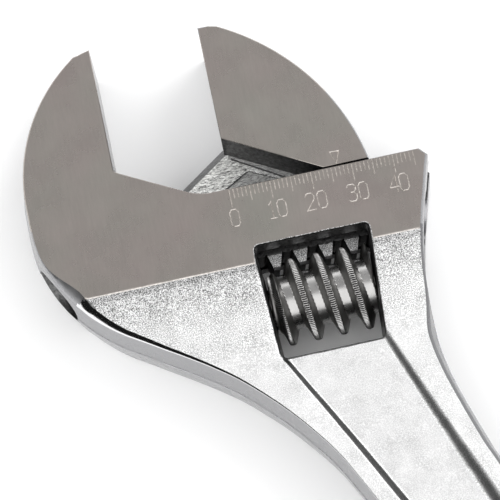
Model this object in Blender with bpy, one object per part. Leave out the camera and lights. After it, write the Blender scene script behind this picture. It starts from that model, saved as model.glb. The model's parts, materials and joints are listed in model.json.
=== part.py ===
"""Adjustable wrench of the 380 mm class, as five separate pieces.

Sizes are in millimetres in the head frame, and become metres when a mesh is made:
  U runs along the scale edge and is the way the jaw opens (world X),
  W points out of the mouth (world Y), Z points up from the back face.
The head frame's origin is the scale's zero mark, on the head's middle plane.
The forged body, the movable jaw with its rack bar, the worm, its screw pin and its spring
are one object each. The root empty moves the head frame so that the world's origin is
under the middle of the whole wrench.
"""
import math

import bmesh
import bpy
from mathutils import Matrix, Vector

MM = 0.001
GAP = 0.3                           # clearance between pieces that face each other

# Head
HALF_THICK = 10.5                   # half of the ground head's thickness
HEAD_CENTRE = (-4.7, 6.4)           # centre of the fixed jaw's round back
HEAD_RADIUS = 44.9                  # at the parting line
HEAD_BULGE = 1.4                    # extra radius where the channel runs out of the head's side
SIDE_DRAFT = 1.0                    # how far a forged side leans in from the parting line to a face
RIGHT_DRAFT = 1.6                   # the same, on the arm's side of the handle
TIP_W = 43.65
FIXED_FACE_U = -26.2
GROUND_EDGE_W = -19.8               # below this line the faces are left as forged

# Handle
OVERALL_LENGTH = 380.0
HANDLE_ANGLE = math.radians(23.3)   # from -W towards +U
HANDLE_START = (31.1, -73.6)
HANDLE_WAIST = 13.9                 # half width where the handle is narrowest
HANDLE_END_RADIUS = 17.5
HANG_HOLE_RADIUS = 7.5
PANEL_DEPTH = 2.6
PANEL_WALL = 2.0                    # how far the panel's wall leans out over its height

# Window for the worm
WINDOW_TOP_W = -15.4
WINDOW_BOTTOM_W = -44.2
WINDOW_TOP_U = (2.7, 31.1)
WINDOW_BOTTOM_U = (3.7, 29.5)
WINDOW_CORNER = 1.5
WINDOW_DRAFT = 0.35

# Sliding jaw
MOVING_FACE_U = 0.7
JAW_TRAVEL_CLOSED = 26.6
JAW_ARC_CENTRE = (-23.4, -8.85)
JAW_ARC_RADIUS = 59.0
BAR_W = -14.0
BAR_RADIUS = 6.5
BAR_ENDS = (-12.5, 42.0)
CHANNEL_RADIUS = 6.85
NECK_HALF_THICK = 3.5
NECK_SLOPE = math.radians(34.9)     # the neck's free edge, seen from above
NECK_TOE_W = 3.3                    # height of that edge over the bar's left end

# Rack and worm
PITCH = 2.0 * math.pi
WORM_W = -27.8
WORM_ENDS = (4.2, 29.4)
CREST_RADIUS = 10.35
ROOT_RADIUS = 7.05
CREST_AT = 10.25                    # a crest centre, straight above the worm's axis
TOOTH_ROOT_W = -16.4
TOOTH_TIP_W = -20.05
TOOTH_ROOT_WIDTH = 3.8
TOOTH_TIP_WIDTH = 1.6
FLANK_CLEARANCE = 0.2
HELIX_SLANT = 0.111                 # along U for each millimetre of Z
TURN_STEPS = 36

# Pin and spring
PIN_RADIUS = 2.5
PIN_START = -8.6
PIN_HEAD_U = (38.9, 41.4)
PIN_HEAD_RADIUS = 3.5
SPRING_POCKET_RADIUS = 4.3
SPRING_POCKET_DEPTH = 5.0
SPRING_RADIUS = 3.55
WIRE_RADIUS = 0.42
SPRING_TURNS = 4.5

AXIS = Vector((math.sin(HANDLE_ANGLE), -math.cos(HANDLE_ANGLE)))
SIDE = Vector((math.cos(HANDLE_ANGLE), math.sin(HANDLE_ANGLE)))


# ---------------------------------------------------------------- outlines

def arc(centre, radius, start_deg, end_deg, steps):
    """Points of an arc, both ends included."""
    angles = [math.radians(start_deg + (end_deg - start_deg) * i / steps) for i in range(steps + 1)]
    return [(centre[0] + radius * math.cos(a), centre[1] + radius * math.sin(a)) for a in angles]


def on_handle(along, across):
    """A point of the handle's own axes, in the head frame."""
    return tuple(Vector(HANDLE_START) + AXIS * along + SIDE * across)


def handle_end():
    """Distance along the handle's axis to the end circle's centre."""
    tip_back = Vector((FIXED_FACE_U, TIP_W)).dot(AXIS)
    start = Vector(HANDLE_START).dot(AXIS)
    return tip_back + OVERALL_LENGTH - start - HANDLE_END_RADIUS


def half_width(along):
    """Half width of the handle at its parting line: a waist that flares to both ends."""
    flare = HANDLE_END_RADIUS - HANDLE_WAIST
    return HANDLE_WAIST + 2.3 * math.exp(-along / 45.0) + flare * (along / handle_end()) ** 3


def offset_outline(points, insets):
    """The outline with edge i (from point i to the next) moved inwards by insets[i]."""
    moved = []
    count = len(points)
    for i in range(count):
        here = Vector(points[i])
        back = (here - Vector(points[i - 1])).normalized()
        ahead = (Vector(points[(i + 1) % count]) - here).normalized()
        in_back = Vector((-back.y, back.x))
        in_ahead = Vector((-ahead.y, ahead.x))
        turn = in_back.x * in_ahead.y - in_back.y * in_ahead.x
        a, b = insets[i - 1], insets[i]
        if abs(turn) < 0.25:
            step = (in_back + in_ahead).normalized() * (a + b) / 2
        else:
            step = Vector((a * in_ahead.y - b * in_back.y, b * in_back.x - a * in_ahead.x)) / turn
        moved.append(tuple(here + step))
    return moved


def head_back(steps):
    """The fixed jaw's round back, from its tip down to the shoulder, with the channel's bulge."""
    points = []
    for i in range(steps + 1):
        degrees = 125.5 + (235.0 - 125.5) * i / steps
        rise = min(1.0, max(0.0, (degrees - 180.0) / 22.0))
        radius = HEAD_RADIUS + HEAD_BULGE * rise * rise * (3.0 - 2.0 * rise)
        points += arc(HEAD_CENTRE, radius, degrees, degrees, 1)[:1]
    return points


def body_outline():
    """The body's parting line, anticlockwise, and how far each edge leans in at the faces."""
    points = []
    insets = []

    def add(new_points, inset):
        points.extend(new_points)
        insets.extend([inset] * len(new_points))

    add([(FIXED_FACE_U, TIP_W)], 0.0)
    add([(-28.5, TIP_W - 0.35)], SIDE_DRAFT)
    add(head_back(26), SIDE_DRAFT)
    add([(-27.6, -33.9), (-23.3, -36.8), (-18.3, -40.1), (-12.9, -43.9), (-7.7, -48.0)], SIDE_DRAFT)
    add([(-2.6, -52.9), (2.4, -58.3), (7.0, -64.1), (10.5, -69.1), (13.6, -74.6)], SIDE_DRAFT)
    reach = handle_end()
    stations = [reach * i / 12 for i in range(13)]
    add([on_handle(t, -half_width(t)) for t in stations[:-1]], SIDE_DRAFT)
    end_centre = on_handle(reach, 0.0)
    axis_deg = math.degrees(math.atan2(AXIS.y, AXIS.x))
    add(arc(end_centre, HANDLE_END_RADIUS, axis_deg - 90.0, axis_deg + 90.0, 14), SIDE_DRAFT)
    add([on_handle(t, half_width(t)) for t in reversed(stations[:-1])], RIGHT_DRAFT)
    add([(44.2, -59.9), (42.4, -52.5), (41.5, -46.0)], RIGHT_DRAFT)
    add([(41.3, -39.0), (41.6, -32.5), (42.2, -27.0), (43.1, -21.8)], SIDE_DRAFT)
    add([(44.4, -16.2), (45.8, -11.3), (47.9, -3.9), (48.7, -1.4)], SIDE_DRAFT)
    add([(47.4, 0.0), (-4.6, 0.0), (-6.9, 0.35), (-9.4, 1.2)], 0.0)
    add([(-25.2, 9.9), (FIXED_FACE_U, 11.0)], 0.0)
    return points, insets


def forged_height(w):
    """Height of the forged faces over the middle plane: a short step, then a slow fall."""
    if w > GROUND_EDGE_W:
        return HALF_THICK
    step = 0.9 * min(1.0, (GROUND_EDGE_W - w) / 2.2)
    fall = 0.8 * min(1.0, (GROUND_EDGE_W - w) / 60.0)
    return HALF_THICK - step - fall


# ---------------------------------------------------------------- mesh helpers

def material(name, colour, metallic, roughness):
    mat = bpy.data.materials.new(name)
    mat.use_nodes = True
    shader = mat.node_tree.nodes["Principled BSDF"]
    shader.inputs["Base Color"].default_value = (*colour, 1.0)
    shader.inputs["Metallic"].default_value = metallic
    shader.inputs["Roughness"].default_value = roughness
    return mat


def mesh_object(name, bm):
    """Close the bmesh into an object, faces out, in metres."""
    bmesh.ops.recalc_face_normals(bm, faces=bm.faces)
    mesh = bpy.data.meshes.new(name)
    bm.to_mesh(mesh)
    bm.free()
    mesh.transform(Matrix.Scale(MM, 4))
    obj = bpy.data.objects.new(name, mesh)
    bpy.context.scene.collection.objects.link(obj)
    return obj


def loft(name, rings):
    """A closed solid through rings of equal length, each a list of (u, w, z)."""
    bm = bmesh.new()
    loops = [[bm.verts.new(p) for p in ring] for ring in rings]
    count = len(loops[0])
    for low, high in zip(loops, loops[1:]):
        for i in range(count):
            j = (i + 1) % count
            bm.faces.new((low[i], low[j], high[j], high[i]))
    bm.faces.new(loops[0])
    bm.faces.new(loops[-1])
    return mesh_object(name, bm)


def slab(name, outline, insets, half_thick):
    """A forged plate: widest at its middle plane, leaning in to both faces."""
    faces = offset_outline(outline, insets)
    return loft(name, [
        [(u, w, -half_thick) for u, w in faces],
        [(u, w, 0.0) for u, w in outline],
        [(u, w, half_thick) for u, w in faces],
    ])


def plate(name, outline, low, high):
    return loft(name, [[(u, w, z) for u, w in outline] for z in (low, high)])


def rod(name, w, radius, start, end, steps=32):
    """A round bar along U, centred on the middle plane."""
    ring = arc((w, 0.0), radius, 0.0, 360.0 * (steps - 1) / steps, steps - 1)
    return loft(name, [[(u, a, b) for a, b in ring] for u in (start, end)])


def bar_along_u(name, profile, start, end):
    """A bar along U of any (w, z) profile."""
    return loft(name, [[(u, w, z) for w, z in profile] for u in (start, end)])


def boolean(target, tool, operation):
    mod = target.modifiers.new(tool.name, "BOOLEAN")
    mod.operation = operation
    mod.solver = "EXACT"
    mod.object = tool
    tool.display_type = "WIRE"
    tool.hide_render = True


def cut(target, *tools):
    for tool in tools:
        boolean(target, tool, "DIFFERENCE")


def finish(obj, mat, origin, root):
    """Give the piece its material and put its origin on its joint's axis."""
    obj.data.materials.append(mat)
    obj.data.transform(Matrix.Translation(-origin))
    obj.location = origin
    obj.parent = root
    obj.data.shade_smooth()
    obj.data.set_sharp_from_angle(angle=math.radians(30))
    for mod in obj.modifiers:
        mod.object.parent = root


# ---------------------------------------------------------------- forged body

def panel_half_width(along):
    return 8.3 + 2.2 * math.exp(-along / 60.0) + 3.2 * (along / handle_end()) ** 3


def panel_cutter(name, side):
    """The recess down the middle of one handle face, side = 1 for the top and -1 for the back."""
    starts = {-1: -39.0, 1: -28.3}      # both sides start on one line along U, in the window
    end, round_end = handle_end() - 17.0, 11.0
    rings = []
    steps = 20
    for i in range(steps + 1):
        travel = math.sin(0.5 * math.pi * i / steps)
        floor, brim = {}, {}
        for hand, start in starts.items():
            t = start + (end - start) * travel
            narrow = math.sqrt(max(0.03, 1.0 - (max(0.0, t - end + round_end) / round_end) ** 2))
            width = panel_half_width(t) * narrow
            shift = -0.8 * math.exp(-max(0.0, t + 28.0) / 60.0)
            surface = forged_height(on_handle(t, 0.0)[1])
            depth = PANEL_DEPTH * min(1.0, 0.35 + 0.65 * (t - start) / 60.0)
            lean = PANEL_WALL * depth / PANEL_DEPTH * narrow
            floor[hand] = (*on_handle(t, shift + hand * (width - lean)), side * (surface - depth))
            brim[hand] = (*on_handle(t, shift + hand * (width + lean)), side * (surface + depth))
        rings.append([floor[-1], floor[1], brim[1], brim[-1]])
    return loft(name, rings)


def forged_face_cutter(name, side):
    """Takes the forged faces down from the ground face, ruled along U."""
    marks = [GROUND_EDGE_W - 2.2, GROUND_EDGE_W - 60.0, -340.0]
    profile = [(w, side * forged_height(w)) for w in marks]
    above = HALF_THICK + 6.0
    step_slope = (HALF_THICK - forged_height(marks[0])) / 2.2
    profile += [(-340.0, side * above), (GROUND_EDGE_W + 6.0 / step_slope, side * above)]
    return bar_along_u(name, profile, -90.0, 200.0)


def rounded_window():
    """The worm's window: a tapered opening with round corners, a little narrower at mid height."""
    corners = [
        (WINDOW_BOTTOM_U[0], WINDOW_BOTTOM_W, 180.0), (WINDOW_BOTTOM_U[1], WINDOW_BOTTOM_W, 270.0),
        (WINDOW_TOP_U[1], WINDOW_TOP_W, 0.0), (WINDOW_TOP_U[0], WINDOW_TOP_W, 90.0),
    ]
    turn_ins = [(1, 1), (-1, 1), (-1, -1), (1, -1)]
    outline = []
    for (u, w, start), (su, sw) in zip(corners, turn_ins):
        centre = (u + su * WINDOW_CORNER, w + sw * WINDOW_CORNER)
        outline += arc(centre, WINDOW_CORNER, start, start + 90.0, 4)
    middle = offset_outline(outline, [WINDOW_DRAFT] * len(outline))
    reach = HALF_THICK + 3.0
    wide = offset_outline(outline, [-WINDOW_DRAFT * 3.0 / HALF_THICK] * len(outline))
    return loft("window_tool", [
        [(u, w, -reach) for u, w in wide],
        [(u, w, 0.0) for u, w in middle],
        [(u, w, reach) for u, w in wide],
    ])


def neck_slot():
    """The slot that the jaw's neck slides in, from the scale edge down into the channel."""
    closed_end = BAR_ENDS[0] - JAW_TRAVEL_CLOSED - 0.6
    rise = math.tan(NECK_SLOPE)
    low = NECK_TOE_W + 2.0
    mouth = FIXED_FACE_U + 0.5
    high = low + (mouth - closed_end) * rise
    outline = [(closed_end, BAR_W), (60.0, BAR_W), (60.0, high), (mouth, high), (closed_end, low)]
    half = NECK_HALF_THICK + GAP
    return plate("neck_slot_tool", outline, -half, half)


def build_body():
    outline, insets = body_outline()
    body = slab("forged_body", outline, insets, HALF_THICK)
    cut(body, forged_face_cutter("forged_top_tool", 1), forged_face_cutter("forged_back_tool", -1))
    cut(body, panel_cutter("panel_top_tool", 1), panel_cutter("panel_back_tool", -1))
    cut(body, rounded_window())
    cut(body, rod("channel_tool", BAR_W, CHANNEL_RADIUS, -70.0, 70.0, 36))
    cut(body, neck_slot())
    cut(body, rod("pin_hole_tool", WORM_W, PIN_RADIUS + GAP, PIN_START - 0.5, 60.0, 20))
    cut(body, rod("pin_seat_tool", WORM_W, PIN_HEAD_RADIUS + GAP, PIN_HEAD_U[0] - GAP, 60.0, 24))
    hole_centre = on_handle(handle_end(), 0.0)
    hole = arc(hole_centre, HANG_HOLE_RADIUS, 0.0, 360.0 * 31 / 32, 31)
    cut(body, plate("hang_hole_tool", hole, -20.0, 20.0))
    return body, outline


# ---------------------------------------------------------------- movable jaw

def jaw_head():
    """The jaw's full-thickness head: working face, round back and the edge over the throat."""
    bottom = 0.35
    right = JAW_ARC_CENTRE[0] + math.sqrt(JAW_ARC_RADIUS ** 2 - (bottom - JAW_ARC_CENTRE[1]) ** 2)
    low_deg = math.degrees(math.atan2(bottom - JAW_ARC_CENTRE[1], right - JAW_ARC_CENTRE[0]))
    back = arc(JAW_ARC_CENTRE, JAW_ARC_RADIUS, low_deg, 60.6, 16)
    outline = [(MOVING_FACE_U, 10.9), (19.3, bottom)] + back
    outline += [(3.3, 43.1), (MOVING_FACE_U, 43.1)]
    insets = [2.04, 0.0] + [0.9] * (len(back) - 1) + [0.9, 0.0, 0.0]
    return slab("movable_jaw", outline, insets, HALF_THICK)


def jaw_neck():
    """The thin neck between head and bar; its free edge is bevelled towards the middle plane."""
    rise = math.tan(NECK_SLOPE)
    toe = BAR_ENDS[0]
    heel = MOVING_FACE_U + 4.0
    outline = [(toe, BAR_W), (33.0, BAR_W), (33.0, 5.0), (heel, 12.0)]
    outline += [(heel, NECK_TOE_W + 1.43 + (heel - toe) * rise), (toe, NECK_TOE_W + 1.43)]
    insets = [0.0, 0.0, 0.0, 0.0, 2.35, 0.0]
    return slab("neck_tool", outline, insets, NECK_HALF_THICK)


def rack_slot(index):
    """One slot between two rack teeth, sheared along U to follow the worm's helix."""
    middle = CREST_AT + PITCH * index
    slope = (TOOTH_ROOT_WIDTH - TOOTH_TIP_WIDTH) / (TOOTH_ROOT_W - TOOTH_TIP_W)
    top_half = (PITCH - TOOTH_ROOT_WIDTH) / 2
    deep_w = TOOTH_TIP_W - 4.0
    low_half = top_half + (TOOTH_ROOT_W - deep_w) * slope / 2
    reach = BAR_RADIUS + 2.0
    rings = []
    for z in (-reach, reach):
        u = middle + HELIX_SLANT * z
        rings.append([(u - low_half, deep_w, z), (u + low_half, deep_w, z),
                      (u + top_half, TOOTH_ROOT_W, z), (u - top_half, TOOTH_ROOT_W, z)])
    return loft(f"rack_slot_{index + 4}_tool", rings)


def build_jaw():
    jaw = jaw_head()
    boolean(jaw, jaw_neck(), "UNION")
    boolean(jaw, rod("bar_tool", BAR_W, BAR_RADIUS, *BAR_ENDS, 32), "UNION")
    cut(jaw, *[rack_slot(i) for i in range(-3, 6)])
    trim = [(-60.0, TOOTH_TIP_W - 6.0), (60.0, TOOTH_TIP_W - 6.0), (60.0, TOOTH_TIP_W), (-60.0, TOOTH_TIP_W)]
    cut(jaw, plate("tooth_tip_tool", trim, -10.0, 10.0))
    return jaw


# ---------------------------------------------------------------- worm, pin and spring

def thread_half(radius):
    """Half width of the worm's thread at a radius: the rack's slot less the clearance."""
    slope = (TOOTH_ROOT_WIDTH - TOOTH_TIP_WIDTH) / (TOOTH_ROOT_W - TOOTH_TIP_W)
    depth = TOOTH_ROOT_W - (WORM_W + radius)
    return (PITCH - TOOTH_ROOT_WIDTH + depth * slope) / 2 - FLANK_CLEARANCE


def worm_thread():
    """One right-hand thread, longer than the worm at both ends, to be trimmed."""
    sunk = ROOT_RADIUS - 0.6
    shoulder = CREST_RADIUS - 0.6
    half = [(sunk, thread_half(sunk)), (shoulder, thread_half(shoulder)), (CREST_RADIUS, 0.75)]
    profile = [(-h, r) for r, h in half] + [(h, r) for r, h in reversed(half)]
    first = WORM_ENDS[0] - 3.2 - CREST_AT
    last = WORM_ENDS[1] + 3.2 - CREST_AT
    steps = round((last - first) / PITCH * TURN_STEPS)
    rings = []
    for i in range(steps + 1):
        angle = first + (last - first) * i / steps
        rings.append([(CREST_AT + angle + u, WORM_W + r * math.cos(angle), r * math.sin(angle))
                      for u, r in profile])
    return loft("adjusting_worm", rings)


def build_worm():
    worm = worm_thread()
    core_ends = (WORM_ENDS[0] - 1.0, WORM_ENDS[1] + 1.0)
    boolean(worm, rod("worm_core_tool", WORM_W, ROOT_RADIUS, *core_ends, TURN_STEPS), "UNION")
    boolean(worm, rod("worm_trim_tool", WORM_W, CREST_RADIUS + 1.0, *WORM_ENDS, 24), "INTERSECT")
    cut(worm, rod("worm_bore_tool", WORM_W, PIN_RADIUS + GAP, 0.0, 40.0, 24))
    pocket_end = WORM_ENDS[0] + SPRING_POCKET_DEPTH
    cut(worm, rod("spring_pocket_tool", WORM_W, SPRING_POCKET_RADIUS, 0.0, pocket_end, 24))
    return worm


def build_pin():
    """The pin's shank and slotted head, turned as one profile."""
    profile = [(PIN_START, PIN_RADIUS - 0.5), (PIN_START + 0.6, PIN_RADIUS), (PIN_HEAD_U[0], PIN_RADIUS),
               (PIN_HEAD_U[0], PIN_HEAD_RADIUS), (PIN_HEAD_U[1] - 0.4, PIN_HEAD_RADIUS),
               (PIN_HEAD_U[1], PIN_HEAD_RADIUS - 0.4)]
    angles = [2.0 * math.pi * i / 24 for i in range(24)]
    pin = loft("worm_pin", [[(u, WORM_W + r * math.cos(a), r * math.sin(a)) for a in angles]
                            for u, r in profile])
    slot = [(WORM_W - 5.0, -0.5), (WORM_W + 5.0, -0.5), (WORM_W + 5.0, 0.5), (WORM_W - 5.0, 0.5)]
    cut(pin, bar_along_u("pin_slot_tool", slot, PIN_HEAD_U[1] - 1.2, PIN_HEAD_U[1] + 2.0))
    return pin


def build_spring():
    """A compression spring in the worm's left end, as one closed wire."""
    first = WORM_ENDS[0] - 0.35 + WIRE_RADIUS
    last = WORM_ENDS[0] + SPRING_POCKET_DEPTH - GAP - WIRE_RADIUS
    steps = round(SPRING_TURNS * 18)
    rings = []
    for i in range(steps + 1):
        angle = 2.0 * math.pi * SPRING_TURNS * i / steps
        u = first + (last - first) * i / steps
        outward = Vector((0.0, math.cos(angle), math.sin(angle)))
        centre = Vector((u, WORM_W, 0.0)) + outward * SPRING_RADIUS
        turns = [2.0 * math.pi * k / 6 for k in range(6)]
        rings.append([tuple(centre + WIRE_RADIUS * (outward * math.cos(a) + Vector((1, 0, 0)) * math.sin(a)))
                      for a in turns])
    return loft("worm_spring", rings)


# ---------------------------------------------------------------- assembly

def main():
    for obj in list(bpy.data.objects):
        bpy.data.objects.remove(obj)
    body, outline = build_body()
    us = [u for u, w in outline]
    ws = [w for u, w in outline]
    root = bpy.data.objects.new("head_frame", None)
    bpy.context.scene.collection.objects.link(root)
    middle = Vector((-(min(us) + max(us)) / 2, -(min(ws) + max(ws)) / 2, HALF_THICK))
    root.location = middle * MM

    chrome = material("satin_chrome_forging", (0.72, 0.72, 0.71), 1.0, 0.38)
    ground = material("ground_jaw_steel", (0.56, 0.54, 0.52), 1.0, 0.45)
    dark = material("dark_worm_steel", (0.33, 0.32, 0.32), 1.0, 0.25)
    pin_steel = material("pin_steel", (0.50, 0.50, 0.50), 1.0, 0.35)
    spring_steel = material("spring_steel", (0.60, 0.56, 0.48), 1.0, 0.30)

    worm_axis = Vector((WORM_ENDS[0], WORM_W, 0.0)) * MM
    bar_axis = Vector((BAR_ENDS[0], BAR_W, 0.0)) * MM
    finish(body, chrome, Vector((0.0, 0.0, 0.0)), root)
    finish(build_jaw(), ground, bar_axis, root)
    finish(build_worm(), dark, worm_axis, root)
    finish(build_pin(), pin_steel, worm_axis, root)
    finish(build_spring(), spring_steel, worm_axis, root)


main()
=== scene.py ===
# %% [markdown]
# # A large adjustable wrench
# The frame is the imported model: five pieces in metres, with +X the way the jaw opens and +Z up
# from the bench. Every finer piece below is drawn in the head frame of that model, in
# millimetres: U runs along the scale edge, W points out of the mouth, Z up from the middle plane.

# %% Load the frame
import json
import math

import bmesh
import bpy
import numpy as np
from mathutils import Matrix, Vector, noise
from mathutils.geometry import delaunay_2d_cdt


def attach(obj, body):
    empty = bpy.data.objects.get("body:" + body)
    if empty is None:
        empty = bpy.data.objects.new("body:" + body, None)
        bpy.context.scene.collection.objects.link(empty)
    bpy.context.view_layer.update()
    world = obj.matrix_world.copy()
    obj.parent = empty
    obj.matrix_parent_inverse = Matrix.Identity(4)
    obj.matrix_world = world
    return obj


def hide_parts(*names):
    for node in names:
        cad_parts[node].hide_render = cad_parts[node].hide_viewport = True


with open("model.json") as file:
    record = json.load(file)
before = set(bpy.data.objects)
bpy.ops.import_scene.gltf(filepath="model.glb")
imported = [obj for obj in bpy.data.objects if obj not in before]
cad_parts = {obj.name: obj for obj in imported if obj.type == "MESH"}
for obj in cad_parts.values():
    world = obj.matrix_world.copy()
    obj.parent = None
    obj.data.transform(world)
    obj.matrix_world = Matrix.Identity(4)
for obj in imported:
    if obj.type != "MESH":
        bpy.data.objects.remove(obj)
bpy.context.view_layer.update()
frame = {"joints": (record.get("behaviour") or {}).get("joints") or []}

MM = 0.001
WORM_W = -27.8
WORM_ENDS = (4.2, 29.4)
joints = {joint["name"]: joint for joint in frame["joints"]}
HEAD = Vector(joints["worm_spin"]["pos_m"]) / MM - Vector((WORM_ENDS[0], WORM_W, 0.0))
print("head frame's origin, mm:", [round(x, 3) for x in HEAD])


# %% [markdown]
# A view from above the handle's side, twenty degrees off straight down and turned a little, with
# a long lens so that the jaws stay parallel.

# %% Camera
TILT = math.radians(20.0)
ROLL = math.radians(12.1)
back = Vector((0.0, -math.sin(TILT), math.cos(TILT)))
across = Vector((1.0, 0.0, 0.0))
upright = Vector((0.0, math.cos(TILT), math.sin(TILT)))
right = math.cos(ROLL) * across - math.sin(ROLL) * upright
up = math.sin(ROLL) * across + math.cos(ROLL) * upright
aim = (HEAD + Vector((1.9547, -16.4698, 10.5))) * MM
lens = bpy.data.cameras.new("long_lens")
lens.lens = 300.0
lens.sensor_width = 36.0
lens.clip_start = 0.01
camera = bpy.data.objects.new("camera", lens)
turn = Matrix((right, up, back)).transposed().to_4x4()
CAMERA_DISTANCE = 0.99348
camera.matrix_world = Matrix.Translation(aim + back * CAMERA_DISTANCE) @ turn
bpy.context.scene.collection.objects.link(camera)
bpy.context.scene.camera = camera

# %% [markdown]
# Colours are written as sRGB hex and turned to the linear values that shaders work in. Every pattern
# is drawn in the piece's own coordinates, in metres, so `per(0.24)` means cells of 0.24 mm.

# %% Node helpers
def linear(hex_text):
    """An sRGB hex colour as linear RGBA."""
    parts = [int(hex_text[i:i + 2], 16) / 255.0 for i in (1, 3, 5)]
    return (*[c / 12.92 if c <= 0.04045 else ((c + 0.055) / 1.055) ** 2.4 for c in parts], 1.0)


def add(tree, kind, inputs=None, stops=(), **settings):
    """Add one node, set its options, fill or link its inputs, and set a ramp's (position, hex) stops."""
    made = tree.nodes.new("ShaderNode" + kind)
    for name, value in settings.items():
        setattr(made, name, value)
    for name, value in (inputs or {}).items():
        if isinstance(value, bpy.types.NodeSocket):
            tree.links.new(value, made.inputs[name])
        else:
            made.inputs[name].default_value = value
    if stops:
        while len(made.color_ramp.elements) < len(stops):
            made.color_ramp.elements.new(0.5)
        for element, (position, colour) in zip(made.color_ramp.elements, stops):
            element.position = position
            element.color = linear(colour)
    return made


def per(cell_mm):
    """The noise scale whose cells are cell_mm wide (coordinates are in metres)."""
    return 1.0 / (cell_mm * MM)


def new_metal(name, colour, roughness):
    """A bare metal: its node tree, its shader and coordinates in metres on the piece."""
    metal = bpy.data.materials.new(name)
    metal.use_nodes = True
    tree = metal.node_tree
    shader = tree.nodes["Principled BSDF"]
    shader.inputs["Base Color"].default_value = linear(colour)
    shader.inputs["Metallic"].default_value = 1.0
    shader.inputs["Roughness"].default_value = roughness
    place = add(tree, "TexCoord").outputs["Object"]
    return metal, tree, shader, place


# %% [markdown]
# ## Chrome plate over a blasted forging
# The wrench is drop forged, shot blasted to knock off the scale, and plated with nickel and chrome
# without any polishing. The plate follows every pit, so the field glitters: bright in the open, peppered
# with dark pits close to the ground edge. Real pits are about 0.1 mm; they are drawn coarser here, at
# 0.24 mm, so that they still show at arm's length. The panel's steep walls look darker than the room
# here would make them, so painted shade is laid on: the colour is drawn darker the steeper the face.

# %% Chromed forging
def chromed_forging(name, calm):
    """calm is 0 for the blasted field beside the head and 1 for the smooth floor of the panel."""
    metal, tree, shader, place = new_metal(name, "#F4F4F3", 0.42)
    w_place = add(tree, "SeparateXYZ", {"Vector": place}).outputs["Y"]
    from_head = add(tree, "MapRange", {"Value": w_place, "From Min": (HEAD.y - 20.0) * MM,
                                       "From Max": (HEAD.y - 44.0) * MM, "To Min": 0.0, "To Max": 1.0})
    pits = add(tree, "TexNoise", {"Vector": place, "Scale": per(0.24), "Detail": 3.0, "Roughness": 0.7})
    cloud = add(tree, "TexNoise", {"Vector": place, "Scale": per(6.2), "Detail": 4.0, "Roughness": 0.65})
    speck = add(tree, "MapRange", {"Value": pits.outputs["Fac"], "From Min": 0.36, "From Max": 0.56,
                                   "To Min": 0.0, "To Max": 1.0})
    open_field = add(tree, "MapRange", {"Value": from_head.outputs["Result"], "To Min": 0.86 * calm,
                                        "To Max": 0.70 + 0.03 * calm})
    lit = add(tree, "Math", {0: speck.outputs["Result"], 1: open_field.outputs["Result"]},
              operation="MAXIMUM")
    cloudy = add(tree, "MapRange", {"Value": cloud.outputs["Fac"], "From Min": 0.3, "From Max": 0.7,
                                    "To Min": -0.08, "To Max": 0.08})
    by_edge = add(tree, "MapRange", {"Value": w_place, "From Min": (HEAD.y - 19.8) * MM,
                                     "From Max": (HEAD.y - 33.0) * MM, "To Min": -0.26, "To Max": 0.0})
    shade = add(tree, "Math", {0: lit.outputs["Value"], 1: cloudy.outputs["Result"]}, operation="ADD")
    shade = add(tree, "Math", {0: shade.outputs["Value"], 1: by_edge.outputs["Result"]}, operation="ADD")
    plated = add(tree, "ValToRGB", {"Fac": shade.outputs["Value"]},
                 stops=[(0.0, "#4E4E4E"), (0.5, "#B4B4B4"), (0.8, "#EEEEEE"), (1.0, "#FFFFFF")])
    # Painted shade: the plate's colour is drawn darker the steeper the face, with a little grain in it.
    facing = add(tree, "SeparateXYZ", {"Vector": add(tree, "NewGeometry").outputs["Normal"]}).outputs["Z"]
    flatness = add(tree, "Math", {0: facing}, operation="ABSOLUTE")
    grainy = add(tree, "Math", {0: pits.outputs["Fac"], 1: 0.22, 2: -0.10}, operation="MULTIPLY_ADD")
    uneven = add(tree, "Math", {0: flatness.outputs["Value"], 1: grainy.outputs["Value"]}, operation="ADD")
    painted_steep_shade = add(tree, "ValToRGB", {"Fac": uneven.outputs["Value"]},
                stops=[(0.62, "#3C3C3C"), (0.80, "#707070"), (0.93, "#CECECE"), (0.985, "#FFFFFF")])
    plate_in_painted_shade = add(tree, "Mix", {"Factor": 1.0, "A": plated.outputs["Color"], "B": painted_steep_shade.outputs["Color"]},
                 data_type="RGBA", blend_type="MULTIPLY")
    tree.links.new(plate_in_painted_shade.outputs["Result"], shader.inputs["Base Color"])
    relief = add(tree, "MapRange", {"Value": from_head.outputs["Result"], "From Min": 0.0, "From Max": 1.0,
                                    "To Min": 1.0 - 0.7 * calm, "To Max": 0.6 - 0.3 * calm})
    bump = add(tree, "Bump", {"Height": pits.outputs["Fac"], "Strength": relief.outputs["Result"],
                              "Distance": 0.0001})
    tree.links.new(bump.outputs["Normal"], shader.inputs["Normal"])
    return metal


# %% [markdown]
# ## Struck neck
# The neck under the jaw is only struck by the die and never ground. The metal flowed outwards from
# its middle, and left streaks about 1 mm long and a third of that wide, on each side of a ridge.

# %% Struck neck
def struck_neck(name, slant, dark, light):
    """The neck's face keeps the streaks of the die, along slant degrees."""
    metal, tree, shader, place = new_metal(name, light, 0.34)
    lie = add(tree, "Mapping", {"Vector": place, "Rotation": (0.0, 0.0, math.radians(-slant)),
                                "Scale": (1.0, 3.6, 1.0)}, vector_type="POINT")
    streak = add(tree, "TexNoise", {"Vector": lie.outputs["Vector"], "Scale": per(1.1), "Detail": 4.0,
                                    "Roughness": 0.7, "Distortion": 0.4})
    toned = add(tree, "ValToRGB", {"Fac": streak.outputs["Fac"]}, stops=[(0.34, dark), (0.6, light)])
    tree.links.new(toned.outputs["Color"], shader.inputs["Base Color"])
    bump = add(tree, "Bump", {"Height": streak.outputs["Fac"], "Strength": 1.0, "Distance": 0.0004})
    tree.links.new(bump.outputs["Normal"], shader.inputs["Normal"])
    return metal


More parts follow.
